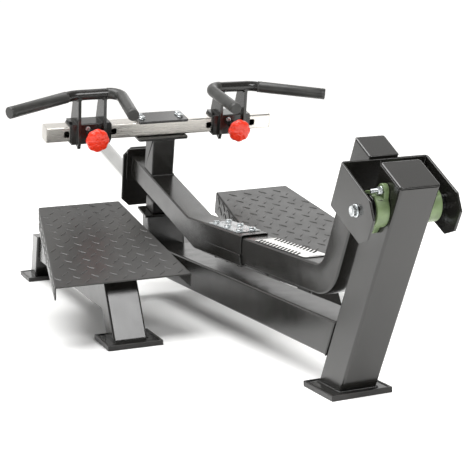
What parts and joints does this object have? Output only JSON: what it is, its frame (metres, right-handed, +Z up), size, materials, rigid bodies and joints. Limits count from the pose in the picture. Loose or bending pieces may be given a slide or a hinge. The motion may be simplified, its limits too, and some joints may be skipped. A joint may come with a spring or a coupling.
{
  "type": "lever row machine",
  "caption": "Floor-standing lever row machine: leaning pivot post, cranked lever, telescoping arm with weight peg, sliding handles on a crossbar and sloping tread foot platforms.",
  "frame": {"origin": "on the floor, under the centre of the machine's bounding box", "axes": "+Y from the pivot post towards the weight peg, +Z up, +X to the right seen from the pivot post"},
  "size_m": [1.0852, 2.3114, 0.7092],
  "materials": {
    "frame_paint": "semi-gloss charcoal powder coat",
    "tread_paint": "semi-matte dark powder coat over raised diamond tread",
    "stainless": "brushed stainless steel",
    "chrome": "bright chrome",
    "zinc": "bright zinc plate",
    "scale_print": "satin strip with black ticks",
    "green_paint": "moss green paint on cast iron",
    "black_steel": "black oxide steel",
    "rubber": "matte moulded rubber",
    "grip_rubber": "matte rubber grip sleeve",
    "knob_plastic": "bright red gloss moulding"
  },
  "bodies": {
    "frame": {"base_beam": "frame_paint", "bump_stop": "rubber", "front_cross_tube": "frame_paint", "front_upright": "frame_paint", "left_bearing_bolt_lower": "zinc", "left_bearing_bolt_upper": "zinc", "left_bearing_housing": "green_paint", "left_front_foot_pad": "rubber", "left_front_leg": "frame_paint", "left_platform": "tread_paint", "left_rail": "frame_paint", "left_rear_foot_pad": "rubber", "left_rear_leg": "frame_paint", "left_riser": "frame_paint", "rear_foot_pad": "rubber", "rear_post": "frame_paint", "rear_post_cap": "frame_paint", "right_bearing_bolt_lower": "zinc", "right_bearing_bolt_upper": "zinc", "right_bearing_housing": "green_paint", "right_front_foot_pad": "rubber", "right_front_leg": "frame_paint", "right_platform": "tread_paint", "right_rail": "frame_paint", "right_rear_foot_pad": "rubber", "right_rear_leg": "frame_paint", "right_riser": "frame_paint"},
    "lever": {"pivot_shaft": "chrome", "left_bearing_ring": "black_steel", "right_bearing_ring": "black_steel", "pivot_bracket": "frame_paint", "left_pivot_bolt": "zinc", "right_pivot_bolt": "zinc", "lever_tube": "frame_paint", "lever_cap": "frame_paint", "scale_strip": "scale_print"},
    "front_arm": {"front_arm": "frame_paint", "clamp_saddle": "frame_paint", "clamp_bolts_left": "zinc", "clamp_bolts_right": "zinc", "mast": "frame_paint", "upper_bar_plate": "frame_paint", "bar_plate_bolts_left": "zinc", "bar_plate_bolts_right": "zinc", "crossbar": "stainless", "end_plate": "frame_paint", "weight_peg": "chrome"},
    "left_handle": {"left_carriage": "frame_paint", "left_handle_tube": "frame_paint", "left_outer_grip": "grip_rubber", "left_inner_grip": "grip_rubber"},
    "left_pin": {"left_pin_plunger": "zinc", "left_knob": "knob_plastic"},
    "right_handle": {"right_carriage": "frame_paint", "right_handle_tube": "frame_paint", "right_outer_grip": "grip_rubber", "right_inner_grip": "grip_rubber"},
    "right_pin": {"right_pin_plunger": "zinc", "right_knob": "knob_plastic"}
  },
  "joints": [
    {"name": "lever_pivot", "type": "hinge", "parent": "frame", "child": "lever", "pos_m": [0, -1.06827, 0.48771], "axis": [1, 0, 0], "range_deg": [0, 40]},
    {"name": "arm_slide", "type": "slide", "parent": "lever", "child": "front_arm", "axis": [0, -1, 0], "range_m": [0, 0.15]},
    {"name": "left_handle_slide", "type": "slide", "parent": "front_arm", "child": "left_handle", "axis": [1, 0, 0], "range_m": [-0.0785, 0.0785]},
    {"name": "left_pin_pull", "type": "slide", "parent": "left_handle", "child": "left_pin", "axis": [0, -0.9603, -0.279], "range_m": [-0.01, 0]},
    {"name": "right_handle_slide", "type": "slide", "parent": "front_arm", "child": "right_handle", "axis": [1, 0, 0], "range_m": [-0.0785, 0.0785]},
    {"name": "right_pin_pull", "type": "slide", "parent": "right_handle", "child": "right_pin", "axis": [0, -0.9603, -0.279], "range_m": [-0.01, 0]}
  ]
}
